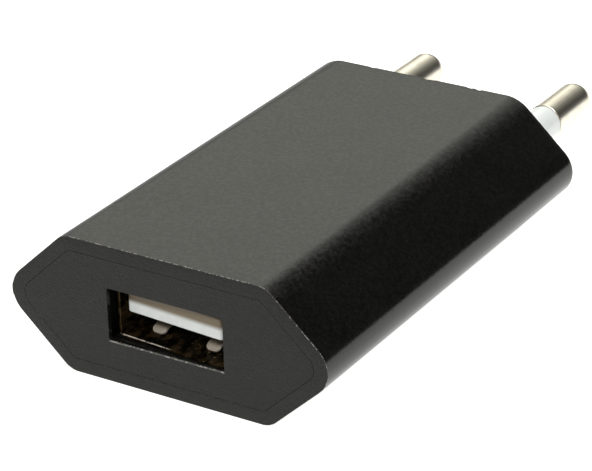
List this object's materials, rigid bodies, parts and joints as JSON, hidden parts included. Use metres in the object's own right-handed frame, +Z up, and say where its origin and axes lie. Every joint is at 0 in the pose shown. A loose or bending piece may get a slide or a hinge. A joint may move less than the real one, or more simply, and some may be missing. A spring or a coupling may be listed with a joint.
{
  "type": "usb wall charger",
  "caption": "Slim hexagonal wall charger with round mains pins on one end and a USB socket in an inset cover on the other.",
  "frame": {"origin": "centre of the rear wall's outer face, between the two mains pins", "axes": "+X to the right seen from the USB end, +Y from the USB end to the mains pins, +Z up with the charger lying on its flat side"},
  "size_m": [0.0352, 0.0678, 0.0144],
  "materials": {
    "housing_plastic": "fine satin texture",
    "cover_plastic": "fine matte spark texture",
    "nickel_plate": "polished nickel plate",
    "sleeve_plastic": "smooth white",
    "brass_strip": "rolled strip",
    "tinned_steel": "dull tinned sheet",
    "socket_plastic": "smooth white",
    "gold_contact": "flash plated",
    "ferrite": "sintered grey",
    "bobbin_plastic": "moulded black",
    "copper_wire": "enamelled",
    "yellow_tape": "polyester tape",
    "tinned_wire": "tinned",
    "capacitor_can": "drawn",
    "capacitor_film": "shrunk film",
    "black_rubber": "dull",
    "resistor_coat": "flameproof coat",
    "black_epoxy": "moulded epoxy",
    "blue_lacquer": "dipped lacquer",
    "white_epoxy": "moulded epoxy",
    "chip_black": "glazed",
    "chip_tan": "sintered",
    "board_green": "solder mask",
    "solder": "reflowed"
  },
  "bodies": {
    "root": {"bridge_rectifier": "black_epoxy", "bridge_rectifier_feet": "tinned_wire", "chip_capacitors": "chip_tan", "chip_resistors": "chip_black", "circuit_board": "board_green", "control_chip": "black_epoxy", "control_chip_feet": "tinned_wire", "disc_capacitor": "blue_lacquer", "disc_capacitor_leads": "tinned_wire", "front_cover": "cover_plastic", "fusible_resistor": "resistor_coat", "fusible_resistor_leads": "tinned_wire", "housing": "housing_plastic", "input_capacitor_bung": "black_rubber", "input_capacitor_can": "capacitor_can", "input_capacitor_leads": "tinned_wire", "input_capacitor_sleeve": "capacitor_film", "line_contact_spring": "brass_strip", "line_pin": "nickel_plate", "line_pin_sleeve": "sleeve_plastic", "neutral_contact_spring": "brass_strip", "neutral_pin": "nickel_plate", "neutral_pin_sleeve": "sleeve_plastic", "optocoupler": "white_epoxy", "optocoupler_legs": "tinned_wire", "output_capacitor_bung": "black_rubber", "output_capacitor_can": "capacitor_can", "output_capacitor_leads": "tinned_wire", "output_capacitor_sleeve": "capacitor_film", "output_diode": "black_epoxy", "output_diode_leads": "tinned_wire", "solder_joints": "solder", "switching_transistor": "black_epoxy", "switching_transistor_legs": "tinned_wire", "transformer_bobbin": "bobbin_plastic", "transformer_core_front": "ferrite", "transformer_core_rear": "ferrite", "transformer_pins": "tinned_wire", "transformer_tape": "yellow_tape", "transformer_winding": "copper_wire", "usb_contact_1": "gold_contact", "usb_contact_2": "gold_contact", "usb_contact_3": "gold_contact", "usb_contact_4": "gold_contact", "usb_insulator": "socket_plastic", "usb_shell": "tinned_steel"}
  },
  "joints": []
}
